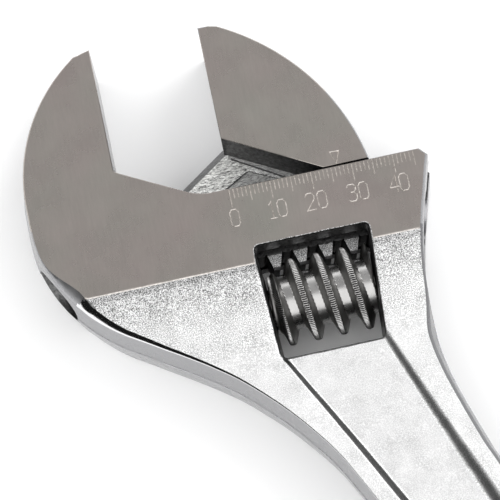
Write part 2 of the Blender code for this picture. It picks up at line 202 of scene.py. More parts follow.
# %% [markdown]
# ## Chrome plate over ground steel
# The head's flat faces are surface ground before plating. Grinding leaves hairlines too fine to see one
# by one (drawn at 0.4 mm, coarser than real): together they dull the mirror to a soft satin grey, with
# wheel marks running out of the mouth. A faint drift of pink and green, 22 mm wide, is laid over it, so
# that the face isn't one flat colour.

# %% Ground face
def ground_face(name, colour):
    metal, tree, shader, place = new_metal(name, colour, 0.28)
    cloud = add(tree, "TexNoise", {"Vector": place, "Scale": per(9.0), "Detail": 4.0, "Roughness": 0.6})
    hue = add(tree, "TexNoise", {"Vector": place, "Scale": per(22.0), "Detail": 3.0})
    red, green, blue, _ = linear(colour)
    warm = add(tree, "Mix", {"Factor": hue.outputs["Fac"], "A": (red * 1.06, green * 0.95, blue * 0.99, 1.0),
                             "B": (red * 0.95, green * 1.04, blue * 0.99, 1.0)}, data_type="RGBA")
    lie = add(tree, "Mapping", {"Vector": place, "Scale": (9.0, 1.0, 1.0)})
    scratch = add(tree, "TexNoise", {"Vector": lie.outputs["Vector"], "Scale": per(3.8), "Detail": 5.0,
                                     "Roughness": 0.75})
    hairlines = add(tree, "ValToRGB", {"Fac": scratch.outputs["Fac"]},
                    stops=[(0.3, "#F4F4F4"), (0.7, "#FFFFFF")])
    brushed = add(tree, "Mix", {"Factor": 1.0, "A": warm.outputs["Result"], "B": hairlines.outputs["Color"]},
                  data_type="RGBA", blend_type="MULTIPLY")
    tree.links.new(brushed.outputs["Result"], shader.inputs["Base Color"])
    dull = add(tree, "MapRange", {"Value": cloud.outputs["Fac"], "From Min": 0.3, "From Max": 0.7,
                                  "To Min": 0.25, "To Max": 0.31})
    tree.links.new(dull.outputs["Result"], shader.inputs["Roughness"])
    grit = add(tree, "TexNoise", {"Vector": place, "Scale": per(0.4), "Detail": 2.0})
    bump = add(tree, "Bump", {"Height": grit.outputs["Fac"], "Strength": 1.0, "Distance": 0.000004})
    tree.links.new(bump.outputs["Normal"], shader.inputs["Normal"])
    return metal


# %% [markdown]
# ## Belt-ground sides
# The forging's parting flash is trimmed off in a press, and its sides are dressed by hand on a belt. That
# leaves long shallow waves, 4 to 5 mm apart, under a fairly bright plate.

# %% Belt-ground sides
def belt_ground(name, colour):
    metal, tree, shader, place = new_metal(name, colour, 0.25)
    cloud = add(tree, "TexNoise", {"Vector": place, "Scale": per(4.5), "Detail": 4.0, "Roughness": 0.6})
    bump = add(tree, "Bump", {"Height": cloud.outputs["Fac"], "Strength": 1.0, "Distance": 0.00006})
    tree.links.new(bump.outputs["Normal"], shader.inputs["Normal"])
    dull = add(tree, "MapRange", {"Value": cloud.outputs["Fac"], "From Min": 0.3, "From Max": 0.7,
                                  "To Min": 0.22, "To Max": 0.33})
    tree.links.new(dull.outputs["Result"], shader.inputs["Roughness"])
    return metal


# %% [markdown]
# ## Painted shade in recesses, the polished back and engraved lines
# The deep corners, walls and creases are painted a dull dark grey as painted shade, with a 0.8 mm mill
# grain. The head's back edge is the brightest line on the wrench. The scale is engraved after grinding,
# and its grooves catch the light as fine bright lines; the same bright colour is painted in a thin band
# along the ground edge as a painted highlight.

# %% Recess, polished edge and line
# Painted shade: a dark grey toned steel for the recesses, walls and creases.
def dark_steel_in_painted_shade(name, dark, light):
    metal, tree, shader, place = new_metal(name, light, 0.38)
    grain = add(tree, "TexNoise", {"Vector": place, "Scale": per(0.83), "Detail": 3.0, "Roughness": 0.6})
    toned = add(tree, "ValToRGB", {"Fac": grain.outputs["Fac"]}, stops=[(0.3, dark), (0.7, light)])
    tree.links.new(toned.outputs["Color"], shader.inputs["Base Color"])
    bump = add(tree, "Bump", {"Height": grain.outputs["Fac"], "Strength": 1.0, "Distance": 0.00012})
    tree.links.new(bump.outputs["Normal"], shader.inputs["Normal"])
    return metal


def polished_edge():
    metal, tree, shader, place = new_metal("polished_chrome_edge", "#E6E6E7", 0.09)
    ripple = add(tree, "TexNoise", {"Vector": place, "Scale": per(3.8), "Detail": 3.0, "Roughness": 0.5})
    bump = add(tree, "Bump", {"Height": ripple.outputs["Fac"], "Strength": 1.0, "Distance": 0.00003})
    tree.links.new(bump.outputs["Normal"], shader.inputs["Normal"])
    return metal


def engraved_line_and_edge_highlight():
    metal, tree, shader, place = new_metal("painted_edge_highlight_and_engraved_steel", "#D8D4D0", 0.35)
    grit = add(tree, "TexNoise", {"Vector": place, "Scale": per(0.55), "Detail": 2.0})
    toned = add(tree, "ValToRGB", {"Fac": grit.outputs["Fac"]}, stops=[(0.3, "#B5B0AB"), (0.7, "#E0DBD6")])
    tree.links.new(toned.outputs["Color"], shader.inputs["Base Color"])
    return metal


# %% [markdown]
# ## Oiled steel
# The worm, its pin and its spring are plain turned steel under a film of oil. The film is uneven, so
# the gloss changes over patches of about 3 mm.

# %% Oiled steel
def oiled_steel(name, colour, roughness):
    metal, tree, shader, place = new_metal(name, colour, roughness)
    smear = add(tree, "TexNoise", {"Vector": place, "Scale": per(2.9), "Detail": 4.0, "Roughness": 0.6})
    dull = add(tree, "MapRange", {"Value": smear.outputs["Fac"], "From Min": 0.3, "From Max": 0.7,
                                  "To Min": roughness * 0.75, "To Max": roughness * 1.5})
    tree.links.new(dull.outputs["Result"], shader.inputs["Roughness"])
    bump = add(tree, "Bump", {"Height": smear.outputs["Fac"], "Strength": 1.0, "Distance": 0.00002})
    tree.links.new(bump.outputs["Normal"], shader.inputs["Normal"])
    return metal


# %% [markdown]
# One list of finishes serves the body and the jaw, so a face's finish is just its place in the list.
# The dark recess, window-wall and right-side entries are painted shade, and the line entry also paints
# a highlight along the ground edge. The worm has four: its root, painted shade between its ribs, its
# flanks in painted shade and its ribs with a painted highlight.

# %% The finishes
(FORGED, GROUND, SIDE_WALL, LINE_AND_EDGE_HIGHLIGHT, DARK_PAINTED_SHADE, EDGE, PANEL,
 NECK_LEFT, NECK_RIGHT, NECK_LOW, WINDOW_WALL_PAINTED_SHADE, RIGHT_SIDE_PAINTED_SHADE) = range(12)
finishes = [chromed_forging("chrome_plate_over_blasted_forging_and_painted_wall_shade", 0.0),
            ground_face("chrome_plate_over_ground_steel", "#B3ADA8"),
            belt_ground("chrome_plate_over_belt_ground_side", "#A4A4A6"), engraved_line_and_edge_highlight(),
            dark_steel_in_painted_shade("dark_recess_in_painted_shade", "#505050", "#7C7C7C"), polished_edge(),
            chromed_forging("chrome_plate_over_smooth_panel_and_painted_wall_shade", 0.85),
            struck_neck("struck_neck_left", 31.0, "#3C3C3C", "#F4F4F1"),
            struck_neck("struck_neck_right", -30.0, "#8C8C8B", "#FAFAF8"),
            struck_neck("struck_neck_low", -30.0, "#767676", "#BEBEBC"),
            dark_steel_in_painted_shade("dark_window_wall_in_painted_shade", "#464646", "#7A7A7A"),
            belt_ground("belt_ground_right_side_in_painted_shade", "#808082")]
# The flank, rib and between-rib metals are shaded and lit copies of the worm's steel: painted shade on the
# flanks and between the ribs, a painted highlight on the ribs.
worm_metal = oiled_steel("oiled_turned_steel", "#B4B3B2", 0.24)
rib_gap_painted_shade = oiled_steel("painted_shade_between_the_ribs", "#2A2A2A", 0.4)
flank_painted_shade_metal = oiled_steel("oiled_thread_flank_in_painted_shade", "#82817F", 0.36)
rib_painted_highlight_metal = oiled_steel("oiled_rib_with_painted_highlight", "#C4C3C2", 0.3)
pin_metal = oiled_steel("turned_pin_steel", "#8C8A88", 0.28)
spring_metal = oiled_steel("drawn_spring_wire", "#C9C0AE", 0.25)

# %% [markdown]
# ## Drawing outlines
# The outline is a chain of runs. Inside a run the points follow a smooth curve; where two runs meet there
# is a sharp corner. `inset_loop` moves each edge inwards by its own amount, and this gives draft, bevels
# and flash from one outline.

# %% Outlines: smooth runs between sharp corners
HALF_THICK = 10.5
HEAD_CENTRE = (-4.7, 6.4)
HEAD_RADIUS = 44.9
HEAD_BULGE = 1.39
TIP_W = 43.65
FIXED_FACE_U = -26.2
GROUND_EDGE_W = -19.8
OVERALL_LENGTH = 379.98
HANDLE_ANGLE = math.radians(23.3)
HANDLE_START = Vector((31.1, -73.6))
HANDLE_WAIST = 13.9
END_RADIUS = 17.48
AXIS = Vector((math.sin(HANDLE_ANGLE), -math.cos(HANDLE_ANGLE)))
SIDE = Vector((math.cos(HANDLE_ANGLE), math.sin(HANDLE_ANGLE)))
REACH = (Vector((FIXED_FACE_U, TIP_W)) - HANDLE_START).dot(AXIS) + OVERALL_LENGTH - END_RADIUS


def arc(centre, radius, start_deg, end_deg, steps):
    turns = [math.radians(start_deg + (end_deg - start_deg) * i / steps) for i in range(steps + 1)]
    return [(centre[0] + radius * math.cos(a), centre[1] + radius * math.sin(a)) for a in turns]


def on_handle(along, sideways):
    return tuple(HANDLE_START + AXIS * along + SIDE * sideways)


def half_width(along):
    flare = END_RADIUS - HANDLE_WAIST
    return HANDLE_WAIST + 2.3 * math.exp(-along / 45.0) + flare * (along / REACH) ** 3


def smooth(t):
    t = min(1.0, max(0.0, t))
    return t * t * (3.0 - 2.0 * t)


def flowing(points, step):
    """Points every `step` mm along a smooth curve through all the given points."""
    ends = [2 * Vector(points[0]) - Vector(points[1])] + [Vector(p) for p in points]
    ends.append(2 * Vector(points[-1]) - Vector(points[-2]))
    made = []
    for a, b, c, d in zip(ends, ends[1:], ends[2:], ends[3:]):
        count = max(1, round((c - b).length / step))
        for i in range(count):
            t = i / count
            made.append(tuple(0.5 * (2 * b + (c - a) * t + (2 * a - 5 * b + 4 * c - d) * t * t
                                     + (3 * b - a - 3 * c + d) * t ** 3)))
    return made + [tuple(ends[-2])]


def inset_loop(points, insets):
    """The loop with edge i (from point i to the next) moved inwards by insets[i]."""
    here = np.array(points)
    ahead = np.roll(here, -1, axis=0) - here
    ahead /= np.linalg.norm(ahead, axis=1)[:, None]
    behind = np.roll(ahead, 1, axis=0)
    a, b = np.roll(insets, 1), np.array(insets)
    in_a = np.stack([-behind[:, 1], behind[:, 0]], axis=1)
    in_b = np.stack([-ahead[:, 1], ahead[:, 0]], axis=1)
    cross = in_a[:, 0] * in_b[:, 1] - in_a[:, 1] * in_b[:, 0]
    mean = in_a + in_b
    mean /= np.linalg.norm(mean, axis=1)[:, None]
    step = mean * ((a + b) / 2)[:, None]
    sharp = np.abs(cross) > 0.25
    safe = np.where(sharp, cross, 1.0)
    miter = np.stack([a * in_b[:, 1] - b * in_a[:, 1], b * in_a[:, 0] - a * in_b[:, 0]], axis=1)
    return here + np.where(sharp[:, None], miter / safe[:, None], step)


def inside(points, loop):
    """Which of the points lie inside the closed loop."""
    p, a = np.array(points), np.array(loop)
    b = np.roll(a, -1, axis=0)
    crossings = np.zeros(len(p), dtype=int)
    for (x0, y0), (x1, y1) in zip(a, b):
        if y0 != y1:
            hit = (y0 > p[:, 1]) != (y1 > p[:, 1])
            crossings += hit & (p[:, 0] < x0 + (p[:, 1] - y0) / (y1 - y0) * (x1 - x0))
    return crossings % 2 == 1


def clear_of(points, loop, gap):
    """The points that are farther than gap from every corner of the loop."""
    p, a = np.array(points), np.array(loop)
    keep = np.ones(len(p), dtype=bool)
    for start in range(0, len(a), 64):
        keep &= (np.linalg.norm(p[:, None] - a[None, start:start + 64], axis=2) > gap).all(axis=1)
    return keep


# %% [markdown]
# ## From parting line to faces
# A forging is made between two dies that meet at a parting line, and every wall leans away from that line
# so that the part drops out. This function builds a plate the same way: rings of points climb from the
# parting line up the leaning wall and over the bevel, and a triangulated face with its own relief closes
# each side. The real outline, draft and relief are all geometry, with no bump standing in for them.

# %% The plate builder
BEVEL_STEPS = (0.0, 0.25, 0.5, 0.75, 1.0)
BEVEL_BULGE = 0.03


def finish_mesh(name, bm, sharp_deg=32.0):
    """Close the bmesh (in head-frame mm) into an object in world metres."""
    bmesh.ops.recalc_face_normals(bm, faces=bm.faces)
    mesh = bpy.data.meshes.new(name)
    bm.to_mesh(mesh)
    bm.free()
    mesh.transform(Matrix.Scale(MM, 4) @ Matrix.Translation(HEAD))
    obj = bpy.data.objects.new(name, mesh)
    bpy.context.scene.collection.objects.link(obj)
    mesh.shade_smooth()
    mesh.set_sharp_from_angle(angle=math.radians(sharp_deg))
    return obj


# %% [markdown]
# The plate itself: walls for the outline and for each hole, then the two faces. `height` gives the
# relief, `paint` and `rim` give the finishes.

# %% The forged plate
def forged_plate(name, loop, lean, bevel, flash, height, holes=(), fill=(), sides=(0.3, 0.6), paint=None,
                 rim=None):
    """A plate forged between two dies, built from its parting line outwards to both faces.
    lean, bevel (width) and flash have one value for each edge of the loop; height(u, w, side)
    gives the faces; each hole is (loop, bevel, lean, wall finish); fill holds inner points of
    the faces; paint(u, w, side) gives a face's finish and rim(u, w) a bevel's."""
    bm = bmesh.new()

    def stack(points, outward, lean, bevel, flash, side, bulge_by):
        """Rings of (points, heights) from the middle plane up to one face."""
        top = inset_loop(points, outward * (flash + lean + bevel))
        level = np.array([height(u, w, side) for u, w in top])
        drop = bevel / 0.87
        rings = [(np.array(points), np.full(len(points), 0.35), SIDE_WALL)]
        if flash.max() > 0:
            rings.append((inset_loop(points, outward * (flash + lean * 0.04)), np.full(len(points), 0.42),
                          SIDE_WALL))
        for part in sides:
            z = 0.42 + (level - drop - 0.42) * part
            rings.append((inset_loop(points, outward * (flash + lean * part)), z, SIDE_WALL))
        for t in BEVEL_STEPS:
            bulge = bulge_by * math.sin(math.pi * t)
            rings.append((inset_loop(points, outward * (flash + lean + bevel * (t - bulge))),
                          level - drop * (1 - t - bulge), SIDE_WALL if t == 0.0 else EDGE))
        return rings

    borders = [(np.array(loop), 1.0, np.array(lean), np.array(bevel), np.array(flash), SIDE_WALL)]
    for hole, hole_bevel, hole_lean, wall in holes:
        count = len(hole)
        borders.append((np.array(hole), -1.0, np.full(count, hole_lean),
                        np.array(hole_bevel) * np.ones(count), np.zeros(count), wall))
    tops = {1: [], -1: []}
    for points, outward, edge_lean, edge_bevel, edge_flash, wall in borders:
        closing = {}
        for side in (1, -1):
            around = outward < 0
            rings = stack(points, outward, edge_lean, edge_bevel, edge_flash, side,
                          0.19 if around else BEVEL_BULGE)
            made = [[bm.verts.new((u, w, side * z)) for (u, w), z in zip(ring, heights)]
                    for ring, heights, _ in rings]
            for low, high, (_, _, finish) in zip(made, made[1:], rings[1:]):
                for i in range(len(low)):
                    j = (i + 1) % len(low)
                    face = bm.faces.new((low[i], low[j], high[j], high[i]))
                    if finish == SIDE_WALL:
                        face.material_index = wall
                    else:
                        face.material_index = rim(low[i].co.x, low[i].co.y) if rim else EDGE
            closing[side] = made[0]
            tops[side].append((rings[-1][0], made[-1]))
        low, high = closing[-1], closing[1]
        for i in range(len(low)):
            j = (i + 1) % len(low)
            bm.faces.new((low[i], low[j], high[j], high[i])).material_index = wall
    for side in (1, -1):
        flat = [tuple(p) for ring, _ in tops[side] for p in ring]
        verts = [v for _, made in tops[side] for v in made]
        edges, start = [], 0
        for ring, _ in tops[side]:
            edges += [(start + i, start + (i + 1) % len(ring)) for i in range(len(ring))]
            start += len(ring)
        if len(fill):
            keep = inside(fill, tops[side][0][0])
            for ring, _ in tops[side][1:]:
                keep &= ~inside(fill, ring)
            for ring, _ in tops[side]:
                keep &= clear_of(fill, ring, 0.4)
            inner = [tuple(p) for p in np.array(fill)[keep]]
        else:
            inner = []
        spots, _, faces, origins, _, _ = delaunay_2d_cdt(
            [Vector(p) for p in flat + inner], edges, [], 1, 1e-5)
        row = []
        for spot, origin in zip(spots, origins):
            known = [k for k in origin if k < len(verts)]
            if known:
                row.append(verts[known[0]])
            else:
                row.append(bm.verts.new((spot.x, spot.y, side * height(spot.x, spot.y, side))))
        middles = np.array([sum((spots[k] for k in face), Vector((0, 0))) / len(face) for face in faces])
        wanted = np.ones(len(middles), dtype=bool)
        for ring, _ in tops[side][1:]:
            wanted &= ~inside(middles, ring)
        for face, good in zip(faces, wanted):
            if good:
                corners = [row[k] for k in face]
                if len(set(corners)) == 3:
                    made = bm.faces.new(corners)
                    middle = sum((c.co for c in corners), Vector((0, 0, 0))) / 3
                    made.material_index = paint(middle.x, middle.y, side) if paint else FORGED
    bad = [e for e in bm.edges if not e.is_manifold]
    print(name, len(bm.faces), "faces,", len(bad), "open edges")
    return finish_mesh(name, bm)


# %% [markdown]
# ## Machining
# After forging come the machine operations: drilling, milling and engraving. Each is a cutter subtracted
# with an exact Boolean, and the cut faces take the cutter's finish.

# %% Boolean helpers
def prism(name, outline, low, high):
    """A straight cutter with its outline in the UW plane."""
    bm = bmesh.new()
    rings = [[bm.verts.new((u, w, z)) for u, w in outline] for z in (low, high)]
    count = len(outline)
    for i in range(count):
        j = (i + 1) % count
        bm.faces.new((rings[0][i], rings[0][j], rings[1][j], rings[1][i]))
    bm.faces.new(rings[0])
    bm.faces.new(rings[1])
    return finish_mesh(name, bm)


def turned(name, profile, steps, sharp_deg=32.0):
    """A turned solid around the line W = profile's third value: rows of (u, radius, centre_w)."""
    bm = bmesh.new()
    rings = []
    for u, r, w in profile:
        rings.append([bm.verts.new((u, w + r * math.cos(2 * math.pi * i / steps),
                                    r * math.sin(2 * math.pi * i / steps))) for i in range(steps)])
    for low, high in zip(rings, rings[1:]):
        for i in range(steps):
            j = (i + 1) % steps
            bm.faces.new((low[i], low[j], high[j], high[i]))
    bm.faces.new(rings[0])
    bm.faces.new(rings[-1])
    return finish_mesh(name, bm, sharp_deg)


def bake(obj, tools, operation="DIFFERENCE"):
    """Cut or join the tools one after the other, and keep only the result."""
    for tool in tools:
        mod = obj.modifiers.new(tool.name, "BOOLEAN")
        mod.operation = operation
        mod.solver = "EXACT"
        mod.object = tool
    bpy.context.view_layer.update()
    solid = bpy.data.meshes.new_from_object(obj.evaluated_get(bpy.context.evaluated_depsgraph_get()))
    obj.modifiers.clear()
    obj.data = solid
    for tool in tools:
        bpy.data.objects.remove(tool)
    print(obj.name, "after", operation.lower(), len(solid.polygons), "faces")


# %% [markdown]
# Engraving cuts a V-shaped groove along each stroke. Strokes of one tool must not cross each other, so
# crossing strokes go into a second tool.

# %% Engraving and handing over
def groove(bm, points, width, depth, level, closed=False):
    """A V-shaped groove tool along a polyline on the ground face."""
    count = len(points)
    top = level + 0.1
    half = width / 2 * (depth + 0.1) / depth
    rows = []
    for i, p in enumerate(points):
        here = Vector(p)
        before = Vector(points[i - 1]) if closed or i else None
        after = Vector(points[(i + 1) % count]) if closed or i < count - 1 else None
        d0 = (here - before).normalized() if before is not None else (after - here).normalized()
        d1 = (after - here).normalized() if after is not None else d0
        across = Vector((-(d0 + d1).y, (d0 + d1).x)).normalized()
        spread = half / max(0.5, across.dot(Vector((-d0.y, d0.x))))
        left, right_side = here + across * spread, here - across * spread
        rows.append([bm.verts.new((*left, top)), bm.verts.new((*here, level - depth)),
                     bm.verts.new((*right_side, top))])
    pairs = list(zip(rows, rows[1:])) + ([(rows[-1], rows[0])] if closed else [])
    for a, b in pairs:
        for i in range(3):
            j = (i + 1) % 3
            bm.faces.new((a[i], a[j], b[j], b[i]))
    if not closed:
        bm.faces.new(rows[0])
        bm.faces.new(rows[-1])


def tool_from(name, bm, finish):
    tool = finish_mesh(name, bm)
    tool.data.materials.append(finish)
    return tool


def ride(obj, body, node, metals):
    """Hand the piece to its body, in place of its coarse solid."""
    obj.data.shade_smooth()
    obj.data.set_sharp_from_angle(angle=math.radians(35.0))
    even = obj.modifiers.new("flat_faces_stay_flat", "WEIGHTED_NORMAL")
    even.mode = "FACE_AREA_WITH_ANGLE"
    even.weight = 100
    even.keep_sharp = True
    if not len(obj.data.materials):
        for metal in metals:
            obj.data.materials.append(metal)
    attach(obj, body)
    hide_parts(node)


# %% [markdown]
# ## The body's faces
# The head stays at full thickness, 21 mm, because it is ground flat. Below the ground edge the forging
# drops by about a millimetre and thins down the handle, and a long panel is sunk into it to save weight.
# The right wall of the panel is the wider one.

# %% The forging's faces
PANEL_DEPTH = 2.6
PANEL_END = REACH - 17.0
PANEL_ROUND = 11.0
LEFT_RUN, RIGHT_RUN = 2.5, 4.1


def panel_inset(u, w):
    """Distance outside the panel's brim (negative inside), and how deep the panel is there."""
    spot = Vector((u, w)) - HANDLE_START
    t, x = spot.dot(AXIS), spot.dot(SIDE)
    width = 8.3 + 2.2 * math.exp(-t / 60.0) + 3.2 * (max(0.0, t) / REACH) ** 3
    shift = -0.8 * math.exp(-max(0.0, t + 28.0) / 60.0)
    reach = abs(x - shift) - width
    past = t - (PANEL_END - PANEL_ROUND)
    if past > 0.0:
        centre = max(0.0, abs(x - shift) - (width - PANEL_ROUND))
        reach = math.hypot(past, centre) - PANEL_ROUND
    hand_start = -39.0 if x < shift else -28.3
    grown = min(1.0, max(0.0, 0.5 + 0.5 * (t - hand_start) / 60.0))
    return reach, PANEL_DEPTH * grown, (LEFT_RUN if x < shift else RIGHT_RUN) * grown


def body_height(u, w, side):
    """Height of the body's face over the middle plane."""
    if w > GROUND_EDGE_W + 2.0:
        return HALF_THICK
    rough = 0.07 * noise.noise(Vector((u / 4.0, w / 4.0, side * 7.0)))
    rough += 0.035 * noise.noise(Vector((u / 1.7, w / 1.7, side * 11.0)))
    below = GROUND_EDGE_W - w
    form = HALF_THICK - 0.9 * min(1.0, below / 2.2) - 0.8 * min(1.0, below / 60.0) + rough
    reach, depth, run = panel_inset(u, w)
    if w < -43.0 and reach < 1.0:
        form -= depth * (1.0 - smooth((reach + run) / (run + 0.3)))
    return min(HALF_THICK, form)


# %% [markdown]
# ## The body's outline
# The back of the head is nearly a circle; the handle leaves it at an angle of 23 degrees, narrows to a
# waist and flares to a round end with a hole to hang it by. Lean and bevel change along the outline: the
# left edge has a broad rounded bevel at the shoulder, the right one a narrow one.

# %% The body's parting line
def head_back():
    points = []
    for i in range(61):
        degrees = 125.5 + (235.0 - 125.5) * i / 60
        radius = HEAD_RADIUS + HEAD_BULGE * smooth((degrees - 180.0) / 22.0)
        points += arc(HEAD_CENTRE, radius, degrees, degrees, 1)[:1]
    return points


stations = [REACH * i / 20 for i in range(21)]
axis_deg = math.degrees(math.atan2(AXIS.y, AXIS.x))
left_run = head_back() + [(-27.6, -33.9), (-23.3, -36.8), (-18.3, -40.1), (-12.9, -43.9), (-7.7, -48.0)]
left_run += [(-2.6, -52.9), (2.4, -58.3), (7.0, -64.1), (10.5, -69.1), (13.6, -74.6)]
left_run += [on_handle(t, -half_width(t)) for t in stations[1:-1]]
end_run = arc(on_handle(REACH, 0.0), END_RADIUS, axis_deg - 90.0, axis_deg + 90.0, 40)
right_run = [on_handle(t, half_width(t)) for t in reversed(stations[1:-1])]
right_run += [on_handle(6.0, half_width(6.0)), (44.2, -59.9), (42.4, -52.5), (41.5, -46.0)]
right_run += [(41.3, -39.0), (41.6, -32.5), (42.2, -27.0), (43.1, -21.8), (44.4, -16.2), (45.8, -11.3)]
right_run += [(47.9, -3.9), (48.7, -1.4)]
STEP = 0.9
loop, kinds = [], []
for kind, run in [("tip", [(FIXED_FACE_U, TIP_W), (-28.5, TIP_W - 0.35)]),
                  ("back", flowing([(-28.5, TIP_W - 0.35)] + left_run + end_run + right_run, STEP)),
                  ("nose", [(48.7, -1.4), (47.4, 0.0)]),
                  ("edge", flowing([(47.4, 0.0), (21.0, 0.0), (-4.6, 0.0)], 4.0)),
                  ("edge", flowing([(-4.6, 0.0), (-6.9, 0.35), (-9.4, 1.2)], 0.8)),
                  ("edge", flowing([(-9.4, 1.2), (-25.2, 9.9)], 4.0)),
                  ("edge", [(-25.2, 9.9), (-25.85, 10.3), (FIXED_FACE_U, 11.0)]),
                  ("edge", flowing([(FIXED_FACE_U, 11.0), (FIXED_FACE_U, TIP_W)], 4.0))]:
    loop += run[:-1]
    kinds += [kind] * (len(run) - 1)
lean, radius, flash = [], [], []
half_way = loop.index(min(loop, key=lambda p: p[1]))
for i, ((u, w), kind) in enumerate(zip(loop, kinds)):
    if kind != "back":
        lean.append(0.0 if kind == "edge" else 0.6)
        radius.append(0.18 if kind == "edge" else 0.3)
        flash.append(0.0)
        continue
    going_right = smooth((i - half_way) / 40.0)
    on_arm = smooth((w + 46.0) / 12.0) if i > half_way else 0.0
    lean.append((0.9 + 0.6 * going_right * smooth((-w - 38.0) / 10.0)) * (1.0 - on_arm) + 0.05 * on_arm)
    below = GROUND_EDGE_W - w
    if i > half_way:
        forged = 0.9 + 0.9 * smooth((-w - 150.0) / 120.0)
    else:
        forged = 0.15 + 2.4 * math.exp(-max(0.0, below) / 13.5) + 0.9 * smooth((-w - 150.0) / 120.0)
    if i > half_way:
        radius.append(forged + (0.6 - forged) * on_arm)
    else:
        radius.append(forged if below > 0.0 else 0.3 + 2.25 * smooth(1.0 + below / 13.0) ** 1.5)
    flash.append(0.1)
print("body loop:", len(loop), "points, handle", round(REACH, 1), "mm to the end's centre")

# %% [markdown]
# The window for the worm goes right through, with rounded corners. Its brim is uneven because the blasted
# edge was never dressed.

# %% Window and holes
WINDOW = [(3.7, -44.2, 180.0), (29.5, -44.2, 270.0), (31.1, -15.4, 0.0), (2.7, -15.4, 90.0)]
window = []
for (u, w, start), (su, sw) in zip(WINDOW, [(1, 1), (-1, 1), (-1, -1), (1, -1)]):
    window += arc((u + su * 1.5, w + sw * 1.5), 1.5, start, start + 90.0, 8)
corners = [Vector(p) for p in window]
window = []
for a, b in zip(corners, corners[1:] + corners[:1]):
    pieces = max(1, round((b - a).length / 0.8))
    window += [tuple(a.lerp(b, i / pieces)) for i in range(pieces)]
window_mid = [tuple(p) for p in inset_loop(window, np.full(len(window), 1.0))]
brim = [0.3 + 0.3 * smooth((-16.5 - w) / 3.0) + 0.16 * noise.noise(Vector((u / 2.5, w / 2.5, 3.0)))
        for u, w in window]
hang = arc(on_handle(REACH, 0.0), 7.5, 0.0, 360.0 * 71 / 72, 71)

# %% [markdown]
# The faces need inner points wherever their height changes: rows along the ground edge, rows down the
# panel's walls, and an even mesh of 1.3 mm for the forging's gentle unevenness.

# %% Points that carry the faces' relief
fill = []
for below in (-1.1, -0.4, 0.0, 0.28, 0.6, 1.1, 1.7, 2.3, 3.0):
    fill += [(-46.0 + 0.5 * i, GROUND_EDGE_W - below) for i in range(200)]
FILL_STEP = 1.3
for row in range(int(310.0 / (FILL_STEP * 0.866))):
    w = GROUND_EDGE_W - 4.0 - row * FILL_STEP * 0.866
    for column in range(int(190.0 / FILL_STEP)):
        fill.append((-42.0 + FILL_STEP * (column + 0.5 * (row % 2)), w))
grid = np.array(fill)
grid = grid[inside(grid, loop)]
bare = [p for p in map(tuple, grid) if not (p[1] < -43.0 and -4.7 < panel_inset(*p)[0] < 1.0)]
fill = bare
for part in (-1.12, -1.0, -0.87, -0.75, -0.62, -0.5, -0.37, -0.25, -0.12, 0.0, 0.12, 0.25):
    for hand in (-1, 1):
        t = -42.0
        while t < PANEL_END - PANEL_ROUND:
            width = 8.3 + 2.2 * math.exp(-t / 60.0) + 3.2 * (max(0.0, t) / REACH) ** 3
            shift = -0.8 * math.exp(-max(0.0, t + 28.0) / 60.0)
            start = -39.0 if hand < 0 else -28.3
            grown = min(1.0, max(0.12, 0.5 + 0.5 * (t - start) / 60.0))
            spread = part * grown * (LEFT_RUN if hand < 0 else RIGHT_RUN)
            fill.append(on_handle(t, shift + hand * (width + spread)))
            t += 1.0
    centre = on_handle(PANEL_END - PANEL_ROUND, 0.0)
    wide = 8.3 + 3.2 * ((PANEL_END - PANEL_ROUND) / REACH) ** 3 - PANEL_ROUND
    count = 36
    for i in range(count + 1):
        a = math.pi * i / count - math.pi / 2
        offset = part * (LEFT_RUN if a < 0 else RIGHT_RUN)
        sideways = (PANEL_ROUND + offset) * math.sin(a)
        sideways += wide * (1 if sideways > 0 else -1)
        fill.append(on_handle(PANEL_END - PANEL_ROUND + (PANEL_ROUND + offset) * math.cos(a), sideways))
print("relief points:", len(fill))

# %% [markdown]
# ## The body
# The plate first, then its machining: a round channel for the jaw's bar, a slot for the neck and the
# hole for the worm's pin.

# %% Build the body
def body_paint(u, w, side):
    if w > GROUND_EDGE_W - 0.02:
        return GROUND
    # A thin bright band just under the ground edge: a painted highlight, in the engraving's colour.
    if w > GROUND_EDGE_W - 0.26:
        return LINE_AND_EDGE_HIGHLIGHT
    reach, _, run = panel_inset(u, w)
    return PANEL if w < -43.5 and reach < -run else FORGED


def body_rim(u, w):
    """The finish of the bevels: belt-ground on the head's back and right side, polished at the left.
    The handle's right side takes a darker belt-ground copy as painted shade, and the window's lower
    brim is painted dark as painted shade.
    """
    if 0.0 < u < 34.0 and -46.0 < w < -13.0:
        return DARK_PAINTED_SHADE if w < -43.6 and 3.5 < u < 29.5 else FORGED
    if w > GROUND_EDGE_W:
        return SIDE_WALL if abs(u) > 34.0 and w < 0.0 else GROUND
    return EDGE if (Vector((u, w)) - HANDLE_START).dot(SIDE) < 0.0 else RIGHT_SIDE_PAINTED_SHADE


# The window's walls are painted dark as painted shade.
body = forged_plate("wrench_body", loop, lean, radius, flash, body_height, fill=fill, paint=body_paint,
                    rim=body_rim, holes=[(window_mid, brim, 0.75, WINDOW_WALL_PAINTED_SHADE), (hang, 1.2, 0.3, SIDE_WALL)])
for metal in finishes:
    body.data.materials.append(metal)
